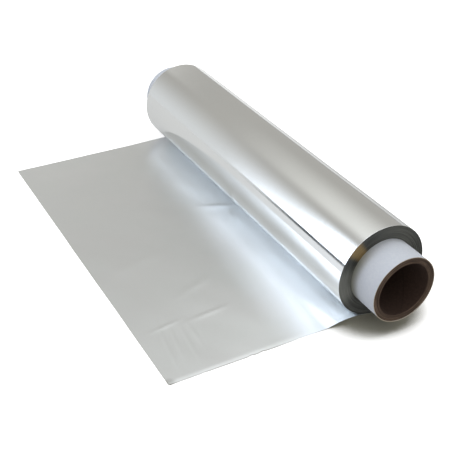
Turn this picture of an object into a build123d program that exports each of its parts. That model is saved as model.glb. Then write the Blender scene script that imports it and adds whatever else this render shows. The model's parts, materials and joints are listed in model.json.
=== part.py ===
"""A roll of aluminium foil on a paperboard core, with its free end drawn out flat in front.

Three pieces: the spiral-wound board tube of the core, the white paper ply glued round it,
and the foil, one continuous web that is both the wound turns and the drawn-out length.

Millimetres, +Z up. X runs along the roll's axis, and the foil is drawn out towards -Y.
The origin is on the surface that the roll lies on, under the middle of the whole outline.
"""

import os
from math import atan2, cos, hypot, sin

from build123d import *

# ---- core ------------------------------------------------------------------------------
core_bore_radius = 19.5  # takes a dispenser's spindle or end plugs
board_wall = 4.4  # all the brown board plies together
outer_ply_thickness = 0.4  # the white paper wound over the board
near_overhang = 24.0  # core standing out past the foil at the +X end
far_overhang = 20.0  # and at the -X end

# ---- foil ------------------------------------------------------------------------------
foil_width = 300.0  # along the roll
wound_build = 9.7  # all the wound turns together, measured from the core outwards
web_thickness = 0.2  # stands in for foil of about 0.014 mm, too thin for a closed solid
drawn_reach = 156.0  # from under the roll's axis to the cut edge
crest_reach = 22.0  # from under the roll's axis to the top of the low hump in front of it
crest_height = 2.5  # of that hump's underside over the surface
landing_reach = 42.0  # from under the roll's axis to where the web meets the surface
crest_share = 0.75  # how much of the run down from the crest bends with it, not against it

# ---- worked out ------------------------------------------------------------------------
board_radius = core_bore_radius + board_wall
core_radius = board_radius + outer_ply_thickness
wound_radius = core_radius + wound_build
core_length = far_overhang + foil_width + near_overhang
core_start = -core_length / 2
foil_start = core_start + far_overhang
axis_y = (drawn_reach - wound_radius) / 2
axis_z = wound_radius


def tube(outer_radius, inner_radius, start, length):
    """A round tube about the roll's axis, from x = start."""
    ring = Pos(axis_y, axis_z) * (Circle(outer_radius) - Circle(inner_radius))
    return extrude(Plane.YZ.offset(start) * ring, amount=length)


class Bend:
    """One arc of the web's path in front of the roll.

    Places are (distance drawn out, height). The centre and radius are those of the web's
    underside, and slope is the web's angle there, positive while it rises. A crest curves
    over its centre, and a landing under it.
    """

    def __init__(self, centre, radius, over=1):
        self.centre = centre
        self.radius = radius
        self.over = over

    def at(self, slope, lift=0.0):
        """The place on the arc where the web has this slope, lifted off the underside."""
        reach = self.over * self.radius + lift
        return (self.centre[0] - reach * sin(slope), self.centre[1] + reach * cos(slope))


def web_path():
    """The web's way from the turns to the surface: its three bends and two slopes.

    It leaves the turns on their tangent at the peel slope, rises to the crest, bends down
    to the fall slope, and bends back to run on flat where it lands.
    """
    peel = 2 * atan2(crest_height, crest_reach)
    rise_radius = crest_reach / sin(peel) - wound_radius
    run_down = landing_reach - crest_reach
    fall = 2 * atan2(crest_height, run_down)
    crest_radius = crest_share * run_down / sin(fall)
    landing_radius = (1 - crest_share) * run_down / sin(fall)
    rise = Bend((crest_reach, crest_height - rise_radius), rise_radius)
    crest = Bend((crest_reach, crest_height - crest_radius), crest_radius)
    landing = Bend((landing_reach, landing_radius), landing_radius, over=-1)
    return rise, crest, landing, peel, -fall


def nip(rise, peel):
    """Where the web's upper face comes clear of the turns: (place, slope)."""
    upper_radius = rise.radius + web_thickness
    apart = hypot(rise.centre[0], rise.centre[1] - wound_radius)
    along = (apart**2 + wound_radius**2 - upper_radius**2) / (2 * apart)
    across = (wound_radius**2 - along**2) ** 0.5
    out = along * sin(peel) + across * cos(peel)
    height = wound_radius - along * cos(peel) + across * sin(peel)
    return (out, height), atan2(rise.centre[0] - out, height - rise.centre[1])


def arc(*places):
    """An arc of the outline through three places, in the section plane's (y, z)."""
    return ThreePointArc(*((axis_y - out, height) for out, height in places))


def line(*places):
    return Line(*((axis_y - out, height) for out, height in places))


def foil_outline():
    """The closed outline of the foil seen along the axis: turns, hump and flat."""
    rise, crest, landing, peel, fall = web_path()
    nip_place, nip_slope = nip(rise, peel)
    upper = web_thickness
    edges = [
        arc(rise.at(peel), (0, 2 * wound_radius), nip_place),
        arc(nip_place, rise.at(nip_slope / 2, upper), rise.at(0, upper)),
        arc(crest.at(0, upper), crest.at(fall / 2, upper), crest.at(fall, upper)),
        arc(landing.at(fall, upper), landing.at(fall / 2, upper), landing.at(0, upper)),
        line(landing.at(0, upper), (drawn_reach, upper)),
        line((drawn_reach, upper), (drawn_reach, 0)),
        line((drawn_reach, 0), landing.at(0)),
        arc(landing.at(0), landing.at(fall / 2), landing.at(fall)),
        arc(crest.at(fall), crest.at(fall / 2), crest.at(0)),
        arc(rise.at(0), rise.at(peel / 2), rise.at(peel)),
    ]
    return make_face(edges)


def foil():
    """The whole web: the wound turns as one ring, and the length drawn off them."""
    section = foil_outline() - Pos(axis_y, axis_z) * Circle(core_radius)
    return extrude(Plane.YZ.offset(foil_start) * section, amount=foil_width)


pieces = {
    "core_tube": tube(board_radius, core_bore_radius, core_start, core_length),
    "core_outer_ply": tube(core_radius, board_radius, core_start, core_length),
    "foil": foil(),
}

os.makedirs("parts", exist_ok=True)
for name, piece in pieces.items():
    export_step(piece, f"parts/{name}.step")
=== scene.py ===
"""A roll of aluminium foil lying on its side, with its free end drawn out flat in front.

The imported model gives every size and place. Metres, +Z up: X runs along the roll, and the
foil is drawn out towards -Y.
"""

import json
from math import atan2, cos, radians, sin, tau

import bpy
import numpy as np
from mathutils import Matrix, Vector


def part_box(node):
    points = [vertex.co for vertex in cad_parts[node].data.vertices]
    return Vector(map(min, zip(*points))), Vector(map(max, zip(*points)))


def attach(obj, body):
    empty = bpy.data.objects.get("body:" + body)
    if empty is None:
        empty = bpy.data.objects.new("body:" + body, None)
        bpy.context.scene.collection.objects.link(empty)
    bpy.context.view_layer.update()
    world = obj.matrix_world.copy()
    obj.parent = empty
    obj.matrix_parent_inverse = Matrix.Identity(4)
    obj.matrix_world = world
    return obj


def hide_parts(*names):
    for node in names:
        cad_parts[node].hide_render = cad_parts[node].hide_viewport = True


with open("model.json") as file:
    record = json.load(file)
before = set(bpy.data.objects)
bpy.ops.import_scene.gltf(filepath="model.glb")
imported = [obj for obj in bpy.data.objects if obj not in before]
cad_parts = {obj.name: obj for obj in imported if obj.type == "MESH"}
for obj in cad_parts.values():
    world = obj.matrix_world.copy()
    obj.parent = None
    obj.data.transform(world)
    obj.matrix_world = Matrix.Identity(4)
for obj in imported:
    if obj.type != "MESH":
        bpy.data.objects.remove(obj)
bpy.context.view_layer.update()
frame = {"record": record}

MM = 0.001

# ---- the roll's own sizes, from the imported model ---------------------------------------
bore = next(m for m in frame["record"]["mounts"] if m["name"] == "core_bore")
axis_y, axis_z = bore["pos_m"][1], bore["pos_m"][2]
bore_radius = bore["dims"]["r_mm"] * MM
core_low, core_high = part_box("core_tube")
ply_low, ply_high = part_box("core_outer_ply")
foil_low, foil_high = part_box("foil")
foil_middle = (foil_low.x + foil_high.x) / 2
foil_half = (foil_high.x - foil_low.x) / 2
board_radius = (core_high.z - core_low.z) / 2
core_radius = (ply_high.z - ply_low.z) / 2
wound_radius = axis_z
cut_reach = axis_y - foil_low.y

# ---- how the web lies: distances out from the roll's axis, and heights ------------------
web_thickness = 0.06 * MM
crest_reach = 22 * MM  # the crest of the hump at the near edge
crest_height = 2.4 * MM
landing_reach = 42 * MM  # where that hump meets the table
crest_share = 0.75  # share of the hump's fall that bends over; the rest bends level again
hump_width = 46 * MM  # how far in from the near edge the hump fades out
inner_crest_reach = 15 * MM  # the lower crest along the rest of the roll

# ---- the core's seams ------------------------------------------------------------------
bore_seam_pitch = 118 * MM
paper_seam_pitch = 124 * MM

# ---- how finely things are made --------------------------------------------------------
segments = 288  # round each ring
wound_stations = 76  # along the roll
turn_groups = 44  # rings of stacked edges on each end of the wound foil
board_plies = 9
web_columns = 280  # along the roll
bend_steps = 16
landing_steps = 12
flat_steps = 104
sharp_angle = radians(35)

# ---- seeds, so that every run makes the same roll ---------------------------------------
turn_groups_seed = 7
roundness_seeds = (3, 5)
cockle_seed = 11
side_edge_seed = 21
cut_edge_seed = 23
board_plies_seed = 40
board_ends_seed = 51
paper_ends_seed = 61


# ======================================================================== mesh helpers ===
def mesh_object(name, points, quads, materials, indices=None):
    """A smooth-shaded mesh piece from arrays of points and quads, edged where it turns sharply."""
    mesh = bpy.data.meshes.new(name)
    mesh.from_pydata(points.tolist(), [], quads.tolist())
    for material in materials:
        mesh.materials.append(material)
    if indices is not None:
        mesh.polygons.foreach_set("material_index", np.asarray(indices, np.int32))
    mesh.polygons.foreach_set("use_smooth", np.ones(len(quads), bool))
    mesh.update()
    mesh.set_sharp_from_angle(angle=sharp_angle)
    piece = bpy.data.objects.new(name, mesh)
    bpy.context.scene.collection.objects.link(piece)
    return piece


def grid_quads(rows, columns, wrapped=False, start=0):
    """Quads of a grid of points numbered row by row from start, if wrapped closed round both ways."""
    r = np.arange(rows if wrapped else rows - 1)
    c = np.arange(columns if wrapped else columns - 1)
    r, c = np.meshgrid(r, c, indexing="ij")
    r2, c2 = (r + 1) % rows, (c + 1) % columns
    quads = [r * columns + c, r * columns + c2, r2 * columns + c2, r2 * columns + c]
    return start + np.stack(quads, -1).reshape(-1, 4)


def turned(name, profile, materials, indices, wobble):
    """A closed ring turned about the roll's axis from a closed loop of (x, radius).

    wobble(x, radius, turn) makes it as uneven as the real one, and returns x and radius.
    """
    angle = np.arange(segments) * tau / segments
    x = np.repeat(profile[:, :1], segments, 1)
    radius = np.repeat(profile[:, 1:], segments, 1)
    turn = np.repeat(angle[None], len(profile), 0)
    x, radius = wobble(x, radius, turn)
    points = np.stack([x, axis_y - radius * np.cos(turn), axis_z + radius * np.sin(turn)], -1)
    quads = grid_quads(len(profile), segments, wrapped=True)
    return mesh_object(name, points.reshape(-1, 3), quads, materials, np.repeat(indices, segments))


def smooth_noise(seed, waves, *coordinates):
    """A gentle uneven surface: a sum of sines with seeded directions and phases.

    waves is a list of (wavelength, height); the result has about the heights' total.
    """
    draw = np.random.default_rng(seed)
    total = np.zeros_like(coordinates[0])
    for wavelength, height in waves:
        for _ in range(3):
            turn, phase = draw.uniform(0, tau, 2)
            along = coordinates[0] * cos(turn) + coordinates[1] * sin(turn)
            total += height / 3 * np.sin(tau * along / wavelength + phase)
    return total


def smoothstep(value, low, high):
    t = np.clip((value - low) / (high - low), 0, 1)
    return t * t * (3 - 2 * t)


# ==================================================================== material helpers ===
class Nodes:
    """Short ways to add and join nodes in one tree."""

    def __init__(self, tree):
        self.tree = tree
        tree.nodes.clear()

    def add(self, kind, values=None, **settings):
        node = self.tree.nodes.new(kind)
        for key, value in settings.items():
            setattr(node, key, value)
        for socket, value in (values or {}).items():
            self.put(node.inputs[socket], value)
        return node

    def put(self, socket, value):
        if isinstance(value, bpy.types.Node):
            value = value.outputs[0]
        if isinstance(value, bpy.types.NodeSocket):
            self.tree.links.new(value, socket)
        else:
            socket.default_value = value

    def math(self, operation, *values):
        node = self.add("ShaderNodeMath", operation=operation)
        for socket, value in zip(node.inputs, values):
            self.put(socket, value)
        return node.outputs[0]

    def product(self, first, *others):
        for other in others:
            first = self.math("MULTIPLY", first, other)
        return first

    def step(self, value, low, high, bottom=0.0, top=1.0):
        """A smooth step of value from bottom at low to top at high."""
        places = {"Value": value, "From Min": low, "From Max": high, "To Min": bottom, "To Max": top}
        return self.add("ShaderNodeMapRange", places, interpolation_type="SMOOTHSTEP").outputs[0]

    def mix(self, factor, first, second, blend="MIX"):
        node = self.add("ShaderNodeMix", data_type="RGBA", blend_type=blend)
        for socket, value in zip((node.inputs[0], node.inputs[6], node.inputs[7]), (factor, first, second)):
            self.put(socket, value)
        return node.outputs[2]

    def place(self):
        """The shaded point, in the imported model's own axes."""
        return self.add("ShaderNodeTexCoord").outputs["Object"]

    def split(self, vector):
        """X, Y and Z of a vector."""
        return self.add("ShaderNodeSeparateXYZ", {0: vector}).outputs


def group(name, inputs, outputs, build):
    """A shader node group with named number inputs, built once by build(nodes, inputs, outputs)."""
    tree = bpy.data.node_groups.new(name, "ShaderNodeTree")
    for label, value in inputs.items():
        socket = tree.interface.new_socket(label, in_out="INPUT", socket_type="NodeSocketFloat")
        socket.default_value = value
    for label in outputs:
        tree.interface.new_socket(label, in_out="OUTPUT", socket_type="NodeSocketFloat")
    nodes = Nodes(tree)
    source = nodes.add("NodeGroupInput")
    sink = nodes.add("NodeGroupOutput")
    build(nodes, source.outputs, sink.inputs)
    return tree


def use(nodes, tree, **values):
    """Places a group, with its inputs given by name and underscores for spaces."""
    node = nodes.add("ShaderNodeGroup", node_tree=tree)
    for label, value in values.items():
        nodes.put(node.inputs[label.replace("_", " ")], value)
    return node.outputs


def material(name, build):
    """A material with one Principled BSDF, dressed by build(nodes, shader)."""
    made = bpy.data.materials.new(name)
    made.use_nodes = True
    nodes = Nodes(made.node_tree)
    shader = nodes.add("ShaderNodeBsdfPrincipled")
    output = nodes.add("ShaderNodeOutputMaterial")
    made.node_tree.links.new(shader.outputs[0], output.inputs[0])
    build(nodes, shader)
    return made


def bump(nodes, shader, height, depth):
    made = nodes.add("ShaderNodeBump", {"Height": height, "Strength": 1.0, "Distance": depth})
    nodes.put(shader.inputs["Normal"], made.outputs[0])


def srgb(red, green, blue):
    """A colour written as it shows on screen, 0 to 255, as a linear one."""
    linear = [((c / 255 + 0.055) / 1.055) ** 2.4 if c > 10 else c / 3294.6 for c in (red, green, blue)]
    return (*linear, 1.0)


def darker(colour, share):
    return tuple(c * share for c in colour[:3]) + (1.0,)


def level(value):
    """A plain grey, as a linear value."""
    return (value, value, value, 1.0)


BLACK = level(0.0)
WHITE = level(1.0)


# ============================================================== shared surface effects ===
def build_mill_lines(nodes, given, out):
    """Fine lines that the rolling mill leaves along the web, so they differ only along X."""
    long_way = 0.01  # how little the lines change along their own length
    x, y, z = nodes.split(nodes.place())
    drift = nodes.add("ShaderNodeCombineXYZ", {
        0: x,
        1: nodes.math("MULTIPLY", y, long_way),
        2: nodes.math("MULTIPLY", z, long_way),
    })
    scale = given["Lines per metre"]
    lines = nodes.add("ShaderNodeTexNoise", {"Vector": drift, "Scale": scale, "Detail": 3.0})
    nodes.put(out["Height"], lines.outputs[0])


def build_cloud(nodes, given, out):
    """A soft uneven value between Low and High, such as haze on metal or fibre cloud in paper."""
    scale = given["Scale"]
    noise = nodes.add("ShaderNodeTexNoise", {"Vector": nodes.place(), "Scale": scale, "Detail": 4.0})
    even = nodes.add("ShaderNodeMapRange", {
        "Value": noise.outputs[0],
        "From Min": 0.3, "From Max": 0.7,
        "To Min": given["Low"], "To Max": given["High"],
    })
    nodes.put(out["Value"], even.outputs[0])


def build_rings(nodes, given, out):
    """Fine rings about the roll's axis: an uneven mask that changes with the radius.

    Turn is how far round the axis the point is, in degrees, from 0 at the front through 90 on top.
    """
    y, z = nodes.split(nodes.place())[1:]
    up = nodes.math("SUBTRACT", z, axis_z)
    ahead = nodes.math("SUBTRACT", axis_y, y)
    square = nodes.math("ADD", nodes.math("MULTIPLY", up, up), nodes.math("MULTIPLY", ahead, ahead))
    drift = given["Drift"]
    ring = nodes.add("ShaderNodeCombineXYZ", {
        0: nodes.math("SQRT", square),
        1: nodes.math("MULTIPLY", up, drift),
        2: nodes.math("MULTIPLY", ahead, drift),
    })
    scale = given["Rings per metre"]
    noise = nodes.add("ShaderNodeTexNoise", {"Vector": ring, "Scale": scale, "Detail": 4.0})
    nodes.put(out["Mask"], nodes.step(noise.outputs[0], 0.32, 0.68))
    nodes.put(out["Turn"], nodes.math("DEGREES", nodes.math("ARCTAN2", up, ahead)))


def build_sector(nodes, given, out):
    """A soft-edged sector about the roll's axis: 1 within Half of Centre, both in degrees."""
    full_share = 0.3  # share of the half width that has the full mask
    away = nodes.math("ABSOLUTE", nodes.math("SUBTRACT", given["Turn"], given["Centre"]))
    full = nodes.math("MULTIPLY", given["Half"], full_share)
    nodes.put(out["Mask"], nodes.step(away, given["Half"], full))


def build_spiral_seam(nodes, given, out):
    """The butt seam of a ply wound on at an angle: a mask that is 1 on a helix about the roll's axis."""
    x, y, z = nodes.split(nodes.place())
    turn = nodes.math("ARCTAN2", nodes.math("SUBTRACT", z, axis_z), nodes.math("SUBTRACT", y, axis_y))
    rise = nodes.math("DIVIDE", x, given["Pitch"])
    phase = nodes.math("ADD", nodes.math("ADD", rise, nodes.math("DIVIDE", turn, tau)), given["Phase"])
    away = nodes.math("ABSOLUTE", nodes.math("SUBTRACT", nodes.math("FRACT", phase), 0.5))
    gap = nodes.math("DIVIDE", given["Width"], given["Pitch"])
    nodes.put(out["Mask"], nodes.step(away, 0.0, gap, 1.0, 0.0))


mill_lines = group("mill_lines", {"Lines per metre": 4000.0}, ["Height"], build_mill_lines)
cloud = group("cloud", {"Scale": 20.0, "Low": 0.0, "High": 1.0}, ["Value"], build_cloud)
rings = group("rings", {"Rings per metre": 2000.0, "Drift": 0.004}, ["Mask", "Turn"], build_rings)
sector = group("sector", {"Turn": 0.0, "Centre": 0.0, "Half": 15.0}, ["Mask"], build_sector)
spiral_seam = group(
    "spiral_seam", {"Pitch": 0.1, "Phase": 0.0, "Width": 0.0006}, ["Mask"], build_spiral_seam,
)


# ============================================================================ finishes ===
def bright_foil(nodes, shader):
    """The mirror side of household foil, which faces out on the roll. Low on the roll its colour is painted
    a touch bluer, a painted reflection.
    """
    clear, hazy, painted_blue_low_down = srgb(240, 241, 240), srgb(236, 237, 237), srgb(240, 242, 243)
    shader.inputs["Metallic"].default_value = 1.0
    haze = use(nodes, cloud, Scale=14.0)["Value"]
    height = nodes.split(nodes.place())[2]
    # painted reflection: from 30 mm high down to 10 mm the colour is painted a touch bluer
    painted_light_share = nodes.step(height, 30 * MM, 10 * MM)
    nodes.put(shader.inputs["Base Color"], nodes.mix(painted_light_share, nodes.mix(haze, clear, hazy), painted_blue_low_down))
    nodes.put(shader.inputs["Roughness"], nodes.step(haze, 0.0, 1.0, 0.07, 0.10))
    lines = use(nodes, mill_lines, Lines_per_metre=3000.0)
    bump(nodes, shader, lines["Height"], 0.012 * MM)


def satin_foil(nodes, shader):
    """The satin side, which faces in on the roll and up where the web is drawn out. Near the roll it is
    painted paler and bluer, a painted light, and is a little less rough there.
    """
    clear, hazy, painted_pale_near_roll = srgb(217, 218, 218), srgb(211, 213, 212), srgb(231, 234, 236)
    painted_light_start, painted_light_full = axis_y - 56 * MM, axis_y - 22 * MM
    smoother = 0.025  # how much less rough the web is where it has just left the roll
    shader.inputs["Metallic"].default_value = 1.0
    haze = use(nodes, cloud, Scale=22.0)["Value"]
    # painted light: from 56 mm to 22 mm out from the axis the satin is painted paler and bluer; the same
    # share makes it a little less rough
    painted_light_share = nodes.step(nodes.split(nodes.place())[1], painted_light_start, painted_light_full)
    nodes.put(shader.inputs["Base Color"], nodes.mix(painted_light_share, nodes.mix(haze, clear, hazy), painted_pale_near_roll))
    dull = nodes.step(haze, 0.0, 1.0, 0.31, 0.34)
    nodes.put(shader.inputs["Roughness"], nodes.math("MULTIPLY_ADD", painted_light_share, -smoother, dull))
    lines = use(nodes, mill_lines, Lines_per_metre=2500.0)
    bump(nodes, shader, lines["Height"], 0.004 * MM)


# Painted highlights on the foil's end faces, each a sector: middle and half width in degrees up from the
# front, colour, share. Two are paler grey, and the one at 45 degrees is a warm brown painted highlight.
painted_end_highlights = [
    (-6.0, 36.0, srgb(148, 149, 143), 0.8),
    (112.0, 50.0, srgb(124, 125, 120), 0.6),
    (45.0, 14.0, srgb(182, 156, 112), 0.92),
]


def foil_ends(nodes, shader):
    """The stacked edges of the turns: dull, dark and finely lined, with painted highlights in sectors, one
    of them warm brown.
    """
    shader.inputs["Metallic"].default_value = 1.0
    turns = use(nodes, rings, Rings_per_metre=3400.0, Drift=0.01)
    shine = nodes.mix(turns["Mask"], srgb(68, 69, 66), srgb(108, 109, 105))
    # painted highlights: sectors of the end face painted lighter, one of them warm brown
    for centre, half, colour, share in painted_end_highlights:
        mask = use(nodes, sector, Turn=turns["Turn"], Centre=centre, Half=half)["Mask"]
        lined = nodes.mix(turns["Mask"], darker(colour, 0.72), colour)
        shine = nodes.mix(nodes.math("MULTIPLY", mask, share), shine, lined)
    nodes.put(shader.inputs["Base Color"], shine)
    nodes.put(shader.inputs["Roughness"], use(nodes, cloud, Scale=60.0, Low=0.40, High=0.5)["Value"])
    bump(nodes, shader, turns["Mask"], 0.02 * MM)


def brown_board(nodes, shader):
    """The core's board plies, seen edge on at the ends."""
    dark_ply, light_ply = srgb(60, 45, 36), srgb(130, 108, 90)
    fibre, stain = srgb(92, 76, 66), srgb(70, 54, 44)
    fibres = use(nodes, cloud, Scale=900.0)["Value"]
    blotch = use(nodes, cloud, Scale=140.0)["Value"]
    plies = use(nodes, rings, Rings_per_metre=1300.0, Drift=0.03)["Mask"]
    brown = nodes.mix(plies, dark_ply, light_ply)
    brown = nodes.mix(nodes.math("MULTIPLY", fibres, 0.35), brown, fibre)
    brown = nodes.mix(nodes.math("MULTIPLY", blotch, 0.5), brown, stain)
    nodes.put(shader.inputs["Base Color"], brown)
    shader.inputs["Roughness"].default_value = 0.9
    bump(nodes, shader, nodes.math("ADD", fibres, plies), 0.05 * MM)


def board_liner(nodes, shader):
    """The dark ply that lines the bore, with its spiral butt seam."""
    fibres = use(nodes, cloud, Scale=700.0)["Value"]
    seam = use(nodes, spiral_seam, Pitch=bore_seam_pitch, Phase=0.3, Width=0.9 * MM)["Mask"]
    brown = nodes.mix(fibres, srgb(66, 49, 42), srgb(80, 61, 52))
    brown = nodes.mix(nodes.math("MULTIPLY", seam, 0.35), brown, srgb(40, 30, 25))
    nodes.put(shader.inputs["Base Color"], brown)
    shader.inputs["Roughness"].default_value = 0.85
    bump(nodes, shader, nodes.math("SUBTRACT", fibres, seam), 0.04 * MM)


def painted_shade_beside_foil(nodes):
    """A mask of painted shade on the paper near the foil's faces, on the side that faces front."""
    reach = 8.5 * MM
    along = nodes.split(nodes.place())[0]
    beyond = nodes.math("ABSOLUTE", nodes.math("SUBTRACT", along, foil_middle))
    beyond = nodes.math("SUBTRACT", beyond, foil_half)
    turn = use(nodes, rings)["Turn"]
    front = use(nodes, sector, Turn=turn, Centre=5.0, Half=75.0)["Mask"]
    return nodes.math("MULTIPLY", nodes.step(beyond, reach, 0.0), front)


def white_paper(nodes, shader):
    """The white ply round the core."""
    seam_grey, painted_shade_grey = srgb(190, 190, 192), srgb(150, 150, 136)
    fibres = use(nodes, cloud, Scale=600.0)["Value"]
    seam = use(nodes, spiral_seam, Pitch=paper_seam_pitch, Phase=0.12, Width=0.5 * MM)["Mask"]
    white = nodes.mix(fibres, srgb(212, 217, 228), srgb(219, 223, 232))
    white = nodes.mix(nodes.math("MULTIPLY", seam, 0.35), white, seam_grey)
    # painted shade: within 8.5 mm of the foil's faces, on the front side, the paper is painted a darker
    # greenish grey
    white = nodes.mix(nodes.math("MULTIPLY", painted_shade_beside_foil(nodes), 0.85), white, painted_shade_grey)
    nodes.put(shader.inputs["Base Color"], white)
    nodes.put(shader.inputs["Roughness"], use(nodes, cloud, Scale=300.0, Low=0.5, High=0.6)["Value"])
    bump(nodes, shader, nodes.math("SUBTRACT", fibres, seam), 0.01 * MM)


def cream_edge(nodes, shader):
    """The cut edge of the white ply."""
    fibres = use(nodes, cloud, Scale=1500.0)["Value"]
    nodes.put(shader.inputs["Base Color"], nodes.mix(fibres, srgb(186, 170, 148), srgb(222, 208, 188)))
    shader.inputs["Roughness"].default_value = 0.85


foil_bright = material("foil_bright", bright_foil)
foil_satin = material("foil_satin", satin_foil)
foil_edges = material("foil_turn_edges", foil_ends)
board = material("board_brown", brown_board)
liner = material("board_liner", board_liner)
paper = material("paper_white", white_paper)
paper_edge = material("paper_cut_edge", cream_edge)


# ======================================================================== the wound foil ===
long_waves = [(0.09, 0.035 * MM), (0.045, 0.012 * MM)]  # wavelength, height
cross_waves = [(0.12, 0.03 * MM)]
wave_sink = 0.06 * MM  # keeps the waves inside the foil's true radius
wave_skin = 0.6 * MM  # how deep they reach
end_lean = 0.05 * MM


def end_rings(side):
    """(x, radius) of the turns' edges at one end, from the outside in: groups of turns that
    stand out or back a little. side is +1 for the +X end."""
    draw = np.random.default_rng(turn_groups_seed + side)
    end = foil_high.x if side > 0 else foil_low.x
    radii = np.linspace(wound_radius, core_radius, turn_groups + 1)
    profile = []
    for outer, inner in zip(radii[:-1], radii[1:]):
        groove = (outer - inner) * 0.22
        back = draw.uniform(0.02, 0.08) * MM
        foot = back + draw.uniform(0.01, 0.05) * MM
        profile.append((end - side * back, outer - groove))
        profile.append((end - side * back, inner + groove * 0.2))
        profile.append((end - side * foot, inner))
    profile[-1] = (end - side * 0.15 * MM, core_radius)
    return profile


def uneven_turns(x, radius, turn):
    """The turns aren't perfectly round or even: the outside waves by a few hundredths."""
    skin = smoothstep(radius, wound_radius - wave_skin, wound_radius)
    ahead, up = np.cos(turn) * wound_radius, np.sin(turn) * wound_radius
    wave = smooth_noise(roundness_seeds[0], long_waves, x, ahead)
    wave = wave + smooth_noise(roundness_seeds[1], cross_waves, x, up)
    at_end = smoothstep(np.abs(x), foil_high.x - 2 * MM, foil_high.x)
    lean = end_lean * np.sin(turn * 3 + radius * 900) * at_end
    return x - np.sign(x) * np.abs(lean), radius + (wave - wave_sink) * skin


def wound_foil():
    """The turns: the bright outside, and the stacked edges at both ends."""
    rim = np.array([0.12, 0.3, 0.9]) * MM  # stations close to each end, which keep its edge crisp
    stations = np.linspace(foil_low.x, foil_high.x, wound_stations)[1:-1]
    stations = np.concatenate([foil_low.x + rim, stations, foil_high.x - rim[::-1]])
    outer = [(x, wound_radius) for x in stations]
    profile = np.array(outer + end_rings(+1) + end_rings(-1)[::-1])
    kinds = np.array([0] * (len(outer) - 1) + [1] * (len(profile) - len(outer) + 1))
    piece = turned("wound_foil", profile, [foil_bright, foil_edges], kinds, uneven_turns)
    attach(piece, "root")
    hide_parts("foil")


# ======================================================================== the drawn foil ===
def web_section():
    """The drawn web's underside near its near edge, as points (distance out from the axis, height).

    It leaves the turns on their tangent, rises to a crest, falls, and runs flat to the cut.
    """
    peel = 2 * atan2(crest_height, crest_reach)
    rise = crest_reach / sin(peel) - wound_radius
    run_down = landing_reach - crest_reach
    fall = 2 * atan2(crest_height, run_down)
    crest = crest_share * run_down / sin(fall)
    landing = (1 - crest_share) * run_down / sin(fall)

    def bend(centre, radius, start, stop, count):
        slope = np.linspace(start, stop, count)
        return np.stack([centre[0] - radius * np.sin(slope), centre[1] + radius * np.cos(slope)], 1)

    parts = [
        bend((crest_reach, crest_height - rise), rise, peel, 0, bend_steps)[:-1],
        bend((crest_reach, crest_height - crest), crest, 0, -fall, bend_steps)[:-1],
        bend((landing_reach, landing), -landing, -fall, 0, landing_steps)[:-1],
        np.stack([np.linspace(landing_reach, cut_reach, flat_steps), np.zeros(flat_steps)], 1),
    ]
    return np.concatenate(parts)


# How the web lies away from its near edge: (x, height of the crest, reach of the fall), in millimetres.
lie = [
    (-152, 0.4, 60), (-80, 0.5, 60), (-36, 0.65, 54), (-20, 0.9, 50), (-6, 1.05, 54), (8, 1.15, 56),
    (30, 1.25, 58), (44, 1.3, 60), (60, 1.3, 62), (90, 1.3, 62), (110, 1.25, 62), (148, 1.2, 62),
]
lie_softening = 15  # columns that each value is averaged over
fall_start, fall_stop = 0.16, 0.3  # shares of the fall that its two bends take


def soft_rise(x, section):
    """The web's height away from its near edge: a lower crest nearer the roll and a long even fall."""
    knots = np.array(lie) * MM
    soften = np.hanning(lie_softening)
    soften = soften / soften.sum()

    def along(values):
        drawn = np.interp(x[0], knots[:, 0], values)
        return np.convolve(np.pad(drawn, lie_softening // 2, mode="edge"), soften, mode="valid")

    crest, reach = along(knots[:, 1]), along(knots[:, 2])
    out, height = section[:, :1], section[:, 1:]
    share = np.clip((out - inner_crest_reach) / (reach - inner_crest_reach), 0, 1)
    gone = np.where(share < fall_start, share ** 2 / (2 * fall_start), share - fall_start / 2)
    gone = gone - np.maximum(share - (1 - fall_stop), 0) ** 2 / (2 * fall_stop)
    fall = crest * (1 - gone / (1 - fall_start / 2 - fall_stop / 2))
    leaving = smoothstep(out, out[0, 0], inner_crest_reach)
    return np.where(out > inner_crest_reach, fall, height * (1 - leaving) + crest * leaving)


# Each crease: x and distance out of its middle, heading in degrees from -Y towards +X, length,
# width on its left and on its right as one looks along it, and height, in millimetres.
creases = [
    (-22, 31, -26, 30, 5, 10, 0.24),
    (92, 79, 87, 120, 60, 36, 0.85),
    (96, 134, 8, 20, 2.6, 3.4, 0.12),
    (97, 102, 4, 28, 3.0, 4.4, 0.12),
    (106, 140, 78, 26, 2.4, 2.4, 0.15),
    (112, 134, 80, 30, 2.4, 2.4, 0.18),
    (118, 127, 84, 32, 2.6, 2.6, 0.17),
    (114, 120, 86, 24, 2.6, 2.6, 0.13),
    (128, 143, 80, 24, 2.6, 2.6, 0.15),
    (-4, 29, 70, 14, 2.6, 2.6, 0.22),
    (3, 27, 66, 14, 2.6, 2.6, 0.22),
    (66, 96, 20, 30, 7.0, 7.0, 0.10),
    (-70, 80, 30, 44, 10.0, 10.0, 0.14),
    (20, 118, 12, 50, 9.0, 12.0, 0.10),
]
cockles = [(0.13, 0.16 * MM), (0.06, 0.09 * MM), (0.025, 0.035 * MM)]  # wavelength, height
cockle_lift = 0.2 * MM
cockle_start, cockle_full = 12 * MM, 30 * MM  # distances out
corner_size, corner_lift = 6 * MM, 0.5 * MM
edge_dip_width, edge_dip = 3 * MM, 0.16 * MM  # the near edge lies lower than the web beside it
edge_dip_start, edge_dip_full = 46 * MM, 60 * MM  # distances out
table_softness = 0.08 * MM  # how softly the web settles on the table


def crease(x, out, middle, reach, heading, length, left, right, height):
    """One soft ridge of the web, with the row of values from the table of creases."""
    turn = radians(heading)
    dx, dy = x - middle * MM, out - reach * MM
    along = dx * sin(turn) + dy * cos(turn)
    across = dx * cos(turn) - dy * sin(turn)
    width = np.where(across > 0, right, left) * MM
    return height * MM * np.exp(-((2 * along / (length * MM)) ** 2) - (2 * across / width) ** 2)


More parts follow.
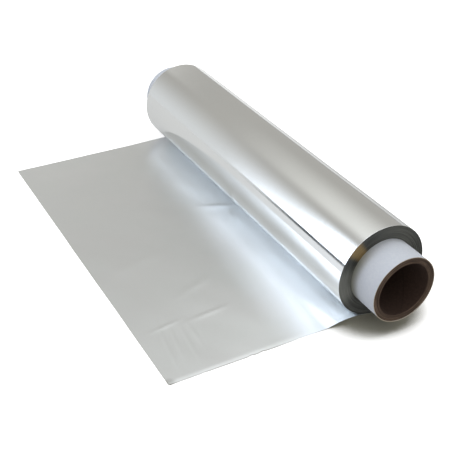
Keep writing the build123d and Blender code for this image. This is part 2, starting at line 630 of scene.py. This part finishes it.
def sheet_relief(x, out):
    """How far the drawn foil stands off its section: soft cockles, creases and a lifted corner.

    It is never below the section, which lies on the table.
    """
    away_from_roll = smoothstep(out, cockle_start, cockle_full)
    relief = away_from_roll * (cockle_lift + smooth_noise(cockle_seed, cockles, x, out))
    for row in creases:
        relief += crease(x, out, *row)
    corner = np.hypot(x - foil_high.x, out - cut_reach)
    relief += corner_lift * (1 - smoothstep(corner, 0, corner_size))
    near_edge = smoothstep(x, foil_high.x - edge_dip_width, foil_high.x)
    relief -= near_edge * edge_dip * smoothstep(out, edge_dip_start, edge_dip_full)
    return (relief + np.hypot(relief, table_softness)) / 2


wanders = [(0.05, 0.10 * MM), (0.011, 0.04 * MM)]  # wavelength, height
cut_edge_reach = 6 * MM  # how far in from the cut edge its wandering reaches
side_edge_start = 0.97  # share of the half width where the side edges' wandering starts

# Nicks in the near side edge: distance out, width and depth, in millimetres.
nicks = [(62, 1.6, 0.3), (89.5, 2.0, 0.7), (98, 1.6, 0.7), (131, 1.4, 0.3)]


def edge_wander(along, seed):
    """How far a cut edge wanders from straight, always inwards."""
    wander = smooth_noise(seed, wanders, along, along * 0)
    return np.maximum(wander + sum(height for _, height in wanders), 0)


def web_underside(section):
    """The web's underside as a grid of points, one row for each point of its section."""
    x = np.repeat(np.linspace(foil_low.x, foil_high.x, web_columns)[None], len(section), 0)
    out = np.repeat(section[:, :1], web_columns, 1)
    at_near_edge = smoothstep(x, foil_high.x - hump_width, foil_high.x)
    height = section[:, 1:] * at_near_edge + soft_rise(x, section) * (1 - at_near_edge)
    side = (x - foil_middle) / foil_half
    pull = edge_wander(out, side_edge_seed)
    for reach, width, depth in nicks:
        nick = depth * MM * np.exp(-(((out - reach * MM) / (width * MM)) ** 2))
        pull = pull + np.where(side > 0, nick, 0)
    x = x - np.sign(side) * pull * smoothstep(np.abs(side), side_edge_start, 1.0)
    relief = sheet_relief(x, out)
    out = out - edge_wander(x, cut_edge_seed) * smoothstep(out, cut_reach - cut_edge_reach, cut_reach)
    return np.stack([x, axis_y - out, height + relief], -1)


def drawn_foil():
    """The drawn web as a closed thin sheet: satin above and round its edges, bright below."""
    section = web_section()
    under = web_underside(section)
    over = under + np.array([0, 0, web_thickness])
    points = np.concatenate([over.reshape(-1, 3), under.reshape(-1, 3)])
    rows = len(section)
    count = rows * web_columns
    top = grid_quads(rows, web_columns)
    bottom = grid_quads(rows, web_columns, start=count)[:, ::-1]
    number = np.arange(count).reshape(rows, web_columns)
    rim = np.concatenate([number[0, :-1], number[:-1, -1], number[-1, :0:-1], number[:0:-1, 0]])
    after = np.roll(rim, -1)
    sides = np.stack([rim, rim + count, after + count, after], 1)
    quads = np.concatenate([top, bottom, sides])
    kinds = np.repeat([0, 1, 0], [len(top), len(bottom), len(sides)])
    piece = mesh_object("drawn_foil", points, quads, [foil_satin, foil_bright], kinds)
    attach(piece, "root")
    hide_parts("foil")


# ============================================================================== the core ===
ragged_board, ragged_paper = 0.05 * MM, 0.06 * MM
ragged_reach = 2 * MM  # how far in from an end its raggedness reaches
seam_ridge, seam_ridge_width = 0.05 * MM, 1.3 * MM
out_of_round = 0.03 * MM
ply_step = 0.08 * MM  # how much deeper the joints between plies are than the plies
joint_gap = 0.02 * MM
paper_back = 0.05 * MM  # how far the white ply's inside edge is cut back


def core_stations(low, high):
    """Places along the core, close together near the ends that show."""
    fine = np.linspace(0, 30 * MM, 25)
    coarse = np.linspace(low + 36 * MM, high - 36 * MM, 24)
    return np.concatenate([low + fine, coarse, high - fine[::-1]])


def board_end(side):
    """(x, radius) of the plies' edges at one end, from the bore out, some a little proud of others."""
    draw = np.random.default_rng(board_plies_seed + side)
    face = core_high.x if side > 0 else core_low.x
    radii = np.linspace(bore_radius, board_radius, board_plies + 1)
    profile = []
    for inner, outer in zip(radii[:-1], radii[1:]):
        back = draw.uniform(0.02, 0.28) * MM
        deep = back + ply_step
        lip = (outer - inner) * 0.18
        profile.append((face - side * deep, inner + joint_gap))
        profile.append((face - side * back, inner + lip))
        profile.append((face - side * back, outer - lip))
        profile.append((face - side * deep, outer - joint_gap))
    return profile


def uneven_board(x, radius, turn):
    """Ragged ends, and a low ridge in the bore where the inner ply butts."""
    phase = np.mod(x / bore_seam_pitch + turn / tau, 1.0) - 0.5
    seam = np.exp(-((phase * bore_seam_pitch / seam_ridge_width) ** 2))
    inside = 1 - smoothstep(radius, bore_radius, bore_radius + 0.5 * MM)
    ragged = ragged_board * smooth_noise(board_ends_seed, [(0.35, 1.0), (0.8, 1.0)], turn, radius * 300)
    at_end = smoothstep(np.abs(x), core_high.x - ragged_reach, core_high.x)
    return x - np.sign(x) * np.abs(ragged) * at_end, radius + seam_ridge * seam * inside


def board_tube():
    """The board: the bore, and at each end the plies' edges, of which the outermost is cream."""
    inside = [(x, bore_radius) for x in core_stations(core_low.x + 0.4 * MM, core_high.x - 0.4 * MM)]
    outside = [(x, board_radius) for x in (core_high.x - 0.5 * MM, core_low.x + 0.5 * MM)]
    end_kinds = [0] * (4 * board_plies - 2) + [2] * 2
    profile = np.array(inside + board_end(+1) + outside + board_end(-1)[::-1])
    kinds = np.array([1] * len(inside) + end_kinds + [0, 0] + end_kinds[::-1])
    piece = turned("core_board", profile, [board, liner, paper_edge], kinds, uneven_board)
    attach(piece, "root")
    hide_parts("core_tube")


def uneven_paper(x, radius, turn):
    """Ends that wander a little, and an outside that isn't quite round."""
    ragged = ragged_paper * smooth_noise(paper_ends_seed, [(0.5, 1.0), (1.3, 1.0)], turn, turn * 0)
    at_end = smoothstep(np.abs(x), ply_high.x - ragged_reach, ply_high.x)
    sag = np.abs(out_of_round * np.sin(2 * turn + 0.6))
    outside = radius > board_radius + 0.2 * MM
    return x - np.sign(x) * np.abs(ragged) * at_end, radius - sag * outside


def paper_ply():
    """The white ply: a thin sleeve round the board."""
    ends = (ply_low.x + paper_back, ply_high.x - paper_back)
    outside = [(x, core_radius) for x in core_stations(ply_low.x, ply_high.x)[::-1]]
    inside = [(x, board_radius + joint_gap) for x in ends]
    kinds = np.array([0] * (len(outside) - 1) + [1, 0, 1])
    piece = turned("core_paper", np.array(outside + inside), [paper, paper_edge], kinds, uneven_paper)
    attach(piece, "root")
    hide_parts("core_outer_ply")


wound_foil()
drawn_foil()
board_tube()
paper_ply()


# =============================================================================== table ===
floor_glow = 0.75  # what the table adds of its own for the camera, to be white
floor_glow_mirrored = 0.19  # and for what mirrors it
floor_gloss = 0.1
floor_white = 0.9  # how light the table is to the camera
floor_dull = 0.62  # and to everything else
floor_far_off = 0.40  # and in the metal, far behind the roll
floor_shade = (0.34, 0.325, 0.265, 1.0)
shadow_reach = 45 * MM
floor_drop = 0.05 * MM


def open_table(nodes, across):
    """A mask that is 1 where nothing shades the table, and nearly 1 past the foil's far end."""
    nearby = nodes.add("ShaderNodeAmbientOcclusion", {"Distance": shadow_reach}, samples=16)
    unshaded = nodes.step(nearby.outputs["AO"], 0.48, 0.8)
    past_far_end = nodes.step(across, foil_low.x + 12 * MM, foil_low.x - 2 * MM, 0.0, 0.85)
    return nodes.math("MAXIMUM", unshaded, past_far_end)


def mirrored_glow(nodes, across, away):
    """How bright the table looks in the metal: in front of the roll, and behind towards its far end."""
    front = nodes.step(away, axis_y + 0.1, axis_y)
    behind = nodes.product(
        nodes.step(away, axis_y + 0.1, axis_y + 0.2),
        nodes.step(across, 0.1, -0.6),
        nodes.step(away, axis_y + 1.2, axis_y + 0.4),
    )
    where = nodes.math("MULTIPLY_ADD", behind, 2.9, front)
    return nodes.math("MULTIPLY", where, floor_glow_mirrored)


def floor_finish():
    """White table top that keeps the roll's soft shadow, and that the metal mirrors as a duller one."""
    made = bpy.data.materials.new("floor_white")
    made.use_nodes = True
    nodes = Nodes(made.node_tree)
    rays = nodes.add("ShaderNodeLightPath").outputs
    seen = rays["Is Camera Ray"]
    mirrored = nodes.math("MAXIMUM", rays["Is Glossy Ray"], rays["Is Transmission Ray"])
    across, away = nodes.split(nodes.place())[:2]
    unshaded = open_table(nodes, across)
    far_off = nodes.step(away, axis_y + 0.05, axis_y + 1.3, floor_dull, floor_far_off)
    matt_white = nodes.mix(seen, nodes.mix(mirrored, level(floor_dull), far_off), level(floor_white))
    shade = nodes.math("MULTIPLY", seen, nodes.math("SUBTRACT", 1.0, unshaded))
    diffuse = nodes.add("ShaderNodeBsdfDiffuse", {"Color": nodes.mix(shade, matt_white, floor_shade)})
    glow = nodes.math(
        "ADD",
        nodes.product(mirrored, mirrored_glow(nodes, across, away)),
        nodes.product(seen, floor_glow, unshaded),
    )
    glow = nodes.add("ShaderNodeEmission", {"Color": WHITE, "Strength": glow})
    matt = nodes.add("ShaderNodeAddShader", {0: diffuse, 1: glow})
    gloss = nodes.add("ShaderNodeBsdfAnisotropic", {"Color": WHITE, "Roughness": 0.25})
    share = nodes.math("MULTIPLY", mirrored, floor_gloss)
    both = nodes.add("ShaderNodeMixShader", {0: share, 1: matt, 2: gloss})
    nodes.add("ShaderNodeOutputMaterial", {0: both})
    return made


def floor():
    """The table top. The roll mirrors its front edge, and the room's dark gap just above that."""
    side, front, back, z = 5.0, -0.85, 5.0, -floor_drop
    corners = np.array([(-side, front, z), (side, front, z), (side, back, z), (-side, back, z)])
    piece = mesh_object("studio_floor", corners, np.array([[0, 1, 2, 3]]), [floor_finish()])


# =============================================================================== light ===
# The room as the metal mirrors it, for directions given by two numbers: around is in degrees about
# the roll's axis, from 0 at the front through 90 overhead, and sweep is the tangent of the turn
# towards -X, away from the near end. Each light is its colour and its soft edges in sweep and in
# around, and an edge is (where the light is gone, where it is full).
room_light = (0.456, 0.446, 0.421, 1.0)
soft_lights = {
    "glow": ((0.27, 0.30, 0.335, 1.0), [(0.0, 0.7)], [(84.0, 0.0), (-20.0, -10.0)]),
    "ceiling": ((0.41, 0.425, 0.42, 1.0), [(1.3, 0.75)], [(60.0, 83.0), (152.0, 86.0)]),
    "far_wall": ((0.44, 0.44, 0.43, 1.0), [(1.4, 1.8)], [(80.0, 100.0)]),
    "overhead": ((1.15, 1.2, 1.26, 1.0), [(0.84, 0.45), (0.05, 0.4)], [(70.0, 96.0), (168.0, 130.0)]),
    "beside": ((1.2, 1.29, 1.4, 1.0), [(0.83, 0.55), (0.05, 0.35)], [(44.0, 62.0), (98.0, 80.0)]),
}
window_light = (2.4, 2.65, 3.05, 1.0)
window_sides = [(1.21, 0.88), (0.45, 0.7)]
window_foot = 3.2  # how far the window's lower edge is above the table's, in degrees
window_foot_soft = 0.6
window_top = 60.5
window_fade_least, window_fade_most = 24.0, 100.0  # degrees that its top takes to fade
window_fade_slope, window_fade_start = 570.0, -453.0  # those degrees for each unit of sweep, and at 0
gap_light = (0.07, 0.075, 0.085, 1.0)  # the dark gap between the table's edge and the window
gap_sides = [(1.11, 0.97), (0.0, 0.5)]
gap_foot = (-5.0, -4.0)


def patch(nodes, sweep, around, sweep_edges, around_edges):
    """A mask that is 1 inside a light's soft edges."""
    masks = [nodes.step(sweep, *edge) for edge in sweep_edges]
    masks += [nodes.step(around, *edge) for edge in around_edges]
    return nodes.product(*masks)


def window_mask(nodes, sweep, around):
    """The window, whose top fades slowly towards its far side."""
    fade = nodes.math("MULTIPLY_ADD", sweep, window_fade_slope, window_fade_start)
    fade = nodes.math("MINIMUM", nodes.math("MAXIMUM", fade, window_fade_least), window_fade_most)
    top = (window_top, nodes.math("SUBTRACT", window_top, fade))
    foot = (window_foot - window_foot_soft, window_foot + window_foot_soft)
    return patch(nodes, sweep, around, window_sides, [top, foot])


def studio_light():
    """The room, which only the metal and the shading see. The camera sees plain white."""
    world = bpy.data.worlds.new("studio")
    bpy.context.scene.world = world
    world.use_nodes = True
    nodes = Nodes(world.node_tree)
    x, y, z = nodes.split(nodes.add("ShaderNodeTexCoord").outputs["Generated"])
    around = nodes.math("DEGREES", nodes.math("ARCTAN2", z, nodes.math("MULTIPLY", y, -1.0)))
    square = nodes.math("ADD", nodes.math("MULTIPLY", y, y), nodes.math("MULTIPLY", z, z))
    off_axis = nodes.math("MAXIMUM", nodes.math("SQRT", square), 0.001)
    sweep = nodes.math("DIVIDE", nodes.math("MULTIPLY", x, -1.0), off_axis)

    lights = [(window_light, window_mask(nodes, sweep, around))]
    for colour, sweep_edges, around_edges in soft_lights.values():
        lights.append((colour, patch(nodes, sweep, around, sweep_edges, around_edges)))
    room = room_light
    for colour, mask in lights:
        room = nodes.mix(1.0, room, nodes.mix(mask, BLACK, colour), blend="ADD")
    gap_top = (window_foot + window_foot_soft, window_foot - window_foot_soft)
    gap = patch(nodes, sweep, around, gap_sides, [gap_foot, gap_top])
    room = nodes.mix(gap, room, gap_light)

    rays = nodes.add("ShaderNodeLightPath").outputs
    plain = nodes.math("MAXIMUM", rays["Is Camera Ray"], rays["Is Transmission Ray"])
    background = nodes.add("ShaderNodeBackground", {"Color": nodes.mix(plain, room, WHITE), "Strength": 1.0})
    nodes.add("ShaderNodeOutputWorld", {0: background})


# ============================================================================== camera ===
view_azimuth = radians(60.98)  # round from -Y towards +X
view_elevation = radians(32.69)
view_distance = 0.6638
view_target = Vector((0.0254, 0.0105, 0.015))
view_roll = radians(0.79)
view_lens, view_sensor = 70.85, 36.0  # in millimetres


def camera():
    made = bpy.data.cameras.new("camera")
    made.lens = view_lens
    made.sensor_width = view_sensor
    piece = bpy.data.objects.new("camera", made)
    bpy.context.scene.collection.objects.link(piece)
    level_share = cos(view_elevation)
    towards = Vector((
        sin(view_azimuth) * level_share,
        -cos(view_azimuth) * level_share,
        sin(view_elevation),
    ))
    turn = towards.to_track_quat("Z", "Y").to_matrix().to_4x4()
    place = Matrix.Translation(view_target + towards * view_distance)
    piece.matrix_world = place @ turn @ Matrix.Rotation(view_roll, 4, "Z")
    bpy.context.scene.camera = piece


floor()
studio_light()
camera()
bpy.context.scene.view_settings.view_transform = "Standard"
